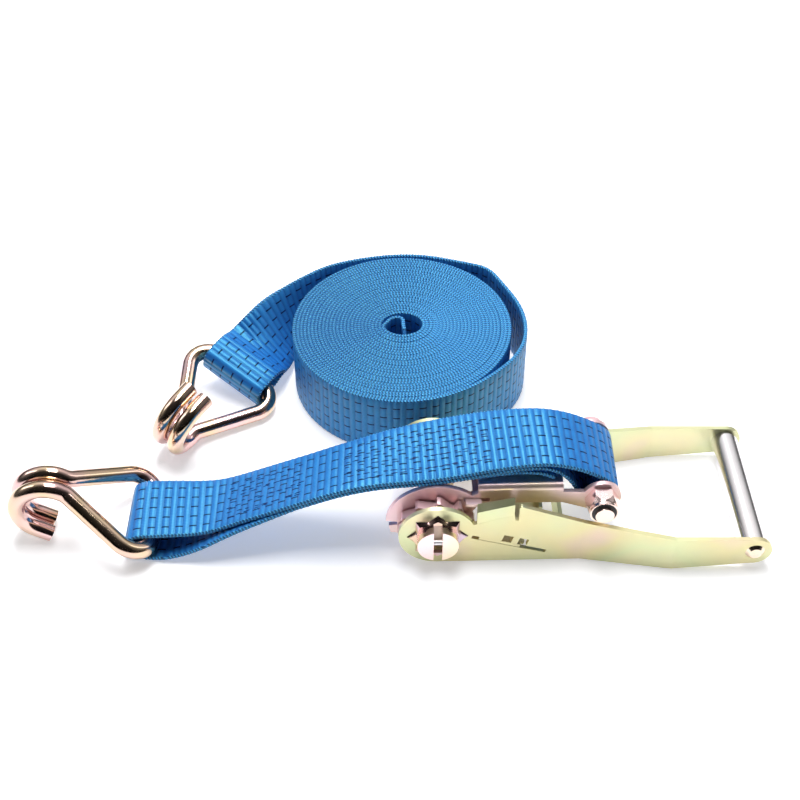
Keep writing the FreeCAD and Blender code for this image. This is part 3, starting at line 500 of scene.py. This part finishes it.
def stitch_rows(line, zones, rows, outward, seed):
    """Threads sewn through the top layer between two x positions, as short raised arcs."""
    along, across, through = frame_of(line, True)
    top = through[:, 2] * outward > 0.3
    x = line[:, 0]
    chance = np.random.default_rng(seed)
    paths = []
    for first, last in zones:
        picked = np.where((x > first) & (x < last) & top)[0]
        picked = picked[np.argsort(x[picked])]
        xs = x[picked]
        for start, end in rows:
            place = first + between(FIRST_STITCH, chance.random())
            while place + STITCH < last:
                length = STITCH * between(STITCH_SPREAD, chance.random())
                drift = STITCH_DRIFT * (chance.random() - 0.5)
                dots = []
                for share in (0.0, 0.2, 0.5, 0.8, 1.0):
                    at = place + share * length
                    k = picked[min(len(picked) - 1, int(np.searchsorted(xs, at)))]
                    part = (at - first) / (last - first)
                    aside = start + (end - start) * part + drift
                    lift = THICKNESS / 2 + between(THREAD_RISE, math.sin(math.pi * share))
                    dots.append(line[k, :3] + across[k] * aside + through[k] * outward * lift)
                paths.append(dots)
                place += length + between(STITCH_GAP, chance.random() ** 2)
    return paths


# --------------------------------------------------------------- long strap
COIL = (-17.2, 137.5)
COIL_MIDDLE = 25.5
CORE_SHIFT = 1.0
PITCH = 2.62
CORE_FOLD = [(1.2, -5.5), (0.2, 0.0), (0.8, 6.0), (-2.5, 9.0), (-7.0, 8.2), (-10.6, 5.0), (-12.6, 1.5)]
FIRST_RADIUS = 13.0
LAST_RADIUS = 79.3
LAST_ANGLE = -66.0
TURN_STEP = 15.0
# Gaps between turns: how wide, at which turn, and over how many turns
GAPS = ((0.45, 3.2, 0.8), (0.25, 22.6, 0.4))
OVAL = 0.10
OVAL_FADE = 3.5
# How the roll's edge rises and falls: height and turns of the slow wave, height and count of the ripples
EDGE_WAVE = (0.0875, 3.7 / 2.1)
EDGE_RIPPLE = (0.05, 5)
OUTER_TURN = 560.0
CORE_RIB = 0.10
RIB_FADE = 20.0
LOOSE_TURN = [(54.0, -61.5), (85.5, -30.0), (91.0, 12.0), (72.0, 56.0), (65.5, 65.5), (54.0, 71.0),
              (8.0, 85.5), (-47.0, 76.0)]
TAIL = [((-88.0, 191.3, 26.4), (-0.16, 0.11, 0.98)), ((-106.5, 170.5, 25.3), (-0.36, 0.22, 0.90)),
        ((-118.5, 149.8, 23.3), (-0.66, 0.39, 0.64))]
HOOK_AT = np.array([-135.7, 126.3, 19.8])
HOOK_ALONG = np.array([-0.578, -0.802, -0.151])
HOOK_ACROSS = np.array([-0.795, 0.512, 0.325])
EYE = [(-19.0, -2.2), (-9.0, -9.6), (5.0, -10.2), (11.6, -8.5), (11.8, 8.0), (5.0, 10.2), (-9.0, 9.6),
       (-19.0, 2.4)]
LAYER_GAP = 2.9


def long_strap_line():
    """Middle line of the long strap, from inside the roll to its sewn end, and the roll's length."""
    rows = [(COIL[0] + x, COIL[1] + y + CORE_SHIFT, COIL_MIDDLE, 0, 0, 1) for x, y in CORE_FOLD]
    turns = (LAST_RADIUS - FIRST_RADIUS) / PITCH
    start = LAST_ANGLE - 360.0 * turns
    count = int(360.0 * turns / TURN_STEP)
    for index in range(count + 1):
        angle = math.radians(start + index * TURN_STEP)
        share = index / count
        turn = index * TURN_STEP / 360.0
        radius = between((FIRST_RADIUS, LAST_RADIUS), share) / math.cos(math.radians(TURN_STEP / 2))
        slack = sum(size * math.exp(-((turn - at) / spread) ** 2) for size, at, spread in GAPS)
        radius += slack * (0.6 + 0.4 * math.cos(angle))
        oval = 1 + OVAL * math.exp(-turn / OVAL_FADE)
        shift = CORE_SHIFT * (1 - share) ** 2
        lift = EDGE_WAVE[0] * math.sin(2 * math.pi * turn / EDGE_WAVE[1])
        lift += EDGE_RIPPLE[0] * math.sin(EDGE_RIPPLE[1] * angle)
        rows.append((COIL[0] + radius * oval * math.cos(angle),
                     COIL[1] + shift + radius / oval * math.sin(angle), COIL_MIDDLE + lift, 0, 0, 1))
    spiral_rows = len(rows)
    rows += [(COIL[0] + x, COIL[1] + y, COIL_MIDDLE, 0, 0, 1) for x, y in LOOSE_TURN]
    rows += [(*point, *across) for point, across in TAIL]
    normal = np.cross(HOOK_ALONG, HOOK_ACROSS)
    for x, z in EYE:
        rows.append((*(HOOK_AT + HOOK_ALONG * x + normal * z), *HOOK_ACROSS))

    # The sewn layer runs back from the eye behind the tail, and ends halfway to the tail's first station.
    before_tail = np.array([LOOSE_TURN[-1][0] + COIL[0], LOOSE_TURN[-1][1] + COIL[1], COIL_MIDDLE])
    eye_start = HOOK_AT + HOOK_ALONG * EYE[0][0]
    stations = [before_tail] + [np.array(point) for point, across in TAIL] + [eye_start]
    for index in (3, 2, 1):
        heading = stations[index + 1] - stations[index - 1]
        facing = np.cross(heading, TAIL[index - 1][1])
        behind = stations[index] + facing / np.linalg.norm(facing) * LAYER_GAP
        if index == 1:
            behind = (behind + np.array(rows[-1][:3])) / 2
        rows.append((*behind, *TAIL[index - 1][1]))
    before = smooth_line(rows[:spiral_rows], per_span=8)
    whole = smooth_line(rows, per_span=16)
    return whole, run_lengths(before, False)[-1]


long_smooth, spiral_length = long_strap_line()
outer_start = spiral_length - OUTER_TURN
long_line, long_spots = resample(long_smooth, [(0.0, CORE_STEP), (outer_start, FINE_STEP)])
rib_heights = np.interp(long_spots, [0, outer_start - RIB_FADE, outer_start],
                        [CORE_RIB, CORE_RIB, RIB_HEIGHT])
long_strap = ribbon("long_strap_webbing", long_line, long_spots, False, rib_heights)
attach(long_strap, "long_strap")
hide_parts("long_strap_coil", "long_strap_last_turn", "long_strap_end")
print("long strap %.1f mm, short strap loop %.1f mm" % (long_spots[-1], short_spots[-1]))

# ---------------------------------------------------------------- stitching
SEWN = [(-140.0, -84.0), (-62.0, 34.0)]
ROWS = [(-18.0, -13.0), (-12.0, -16.0), (-8.0, -3.5), (-2.5, -6.5),
        (2.0, 5.5), (7.0, 3.5), (11.0, 15.0), (17.0, 12.5)]
THREAD_RADIUS = 0.26
TUCK_ASIDE = 0.6
highest = np.argmax(short_line[:, 2])
top_sign = 1.0 if frame_of(short_line, True)[2][highest, 2] > 0 else -1.0
threads = stitch_rows(short_line, SEWN, ROWS, top_sign, seed=7)
stitching = tubes("short_strap_stitching", threads, THREAD_RADIUS, THREAD, sides=6)
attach(stitching, "ratchet_frame")

tuck_flat = smooth_line([(x, z, 0.0) for x, z in TUCK_LINE])
tuck_rows = np.column_stack([
    tuck_flat[:, 0], -(PIN[0] - tuck_flat[:, 0]) * math.tan(YAW) + TUCK_ASIDE, tuck_flat[:, 1],
    np.tile([math.sin(YAW), math.cos(YAW), 0.0], (len(tuck_flat), 1))])
tuck_line, tuck_spots = resample(tuck_rows, FINE_STEP)
tuck = ribbon("short_strap_tuck", tuck_line, tuck_spots, False, RIB_HEIGHT)
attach(tuck, "ratchet_frame")

# ------------------------------------------------------------ floor, lights
floor_material = Nodes("floor_white")
floor_material.set(Base_Color=(0.84, 0.84, 0.86, 1.0), Roughness=0.9, Specular_IOR_Level=0.1,
                   Emission_Color=(1.0, 1.0, 1.0, 1.0), Emission_Strength=0.40)
floor = mesh_object("floor", [(-4, -4, 0), (4, -4, 0), (4, 6, 0), (-4, 6, 0)], [(0, 1, 2, 3)],
                    floor_material.material, smooth=False)


def soft_box(name, place, aim, size, power, colour=(1, 1, 1)):
    light = bpy.data.lights.new(name, "AREA")
    light.shape = "RECTANGLE"
    light.size, light.size_y = size
    light.energy = power
    light.color = colour
    lamp = bpy.data.objects.new(name, light)
    lamp.location = place
    lamp.rotation_euler = (Vector(aim) - Vector(place)).to_track_quat("-Z", "Y").to_euler()
    bpy.context.scene.collection.objects.link(lamp)


soft_box("light_over", (-0.05, 0.40, 1.45), (-0.02, 0.1, 0), (0.55, 1.1), 29.0)
soft_box("light_left", (-1.4, 0.35, 1.1), (0, 0.05, 0), (0.5, 0.9), 3.0)
soft_box("light_right", (1.4, 0.5, 1.0), (0, 0.05, 0), (0.4, 0.9), 1.6)

world = bpy.data.worlds.new("studio")
world.use_nodes = True
bpy.context.scene.world = world
world_tree = world.node_tree
background = world_tree.nodes["Background"]


def world_node(kind, **settings):
    node = world_tree.nodes.new(kind)
    for key, value in settings.items():
        setattr(node, key, value)
    return node


def grey_ramp(stops):
    node = world_node("ShaderNodeValToRGB")
    while len(node.color_ramp.elements) < len(stops):
        node.color_ramp.elements.new(0.5)
    for element, (position, grey) in zip(node.color_ramp.elements, stops):
        element.position = position
        element.color = (grey, grey, grey, 1.0)
    return node


sky_direction = world_node("ShaderNodeTexCoord")
sky_height = world_node("ShaderNodeSeparateXYZ")
dark_side = world_node("ShaderNodeVectorMath", operation="DOT_PRODUCT")
dark_side.inputs[1].default_value = (0.0, -0.76, 0.65)
sky = grey_ramp([(0.0, 0.04), (0.25, 0.10), (0.55, 0.60), (0.85, 1.0)])
dark_room = grey_ramp([(0.10, 1.0), (0.45, 0.25), (0.75, 0.02)])
shade = world_node("ShaderNodeMix", data_type="RGBA", blend_type="MULTIPLY")
shade.inputs[0].default_value = 1.0
world_tree.links.new(sky_direction.outputs["Generated"], sky_height.inputs[0])
world_tree.links.new(sky_direction.outputs["Generated"], dark_side.inputs[0])
world_tree.links.new(sky_height.outputs[2], sky.inputs[0])
world_tree.links.new(dark_side.outputs["Value"], dark_room.inputs[0])
world_tree.links.new(sky.outputs[0], shade.inputs[6])
world_tree.links.new(dark_room.outputs[0], shade.inputs[7])
world_tree.links.new(shade.outputs[2], background.inputs[0])
background.inputs[1].default_value = 1.25
bpy.context.scene.view_settings.view_transform = "Standard"
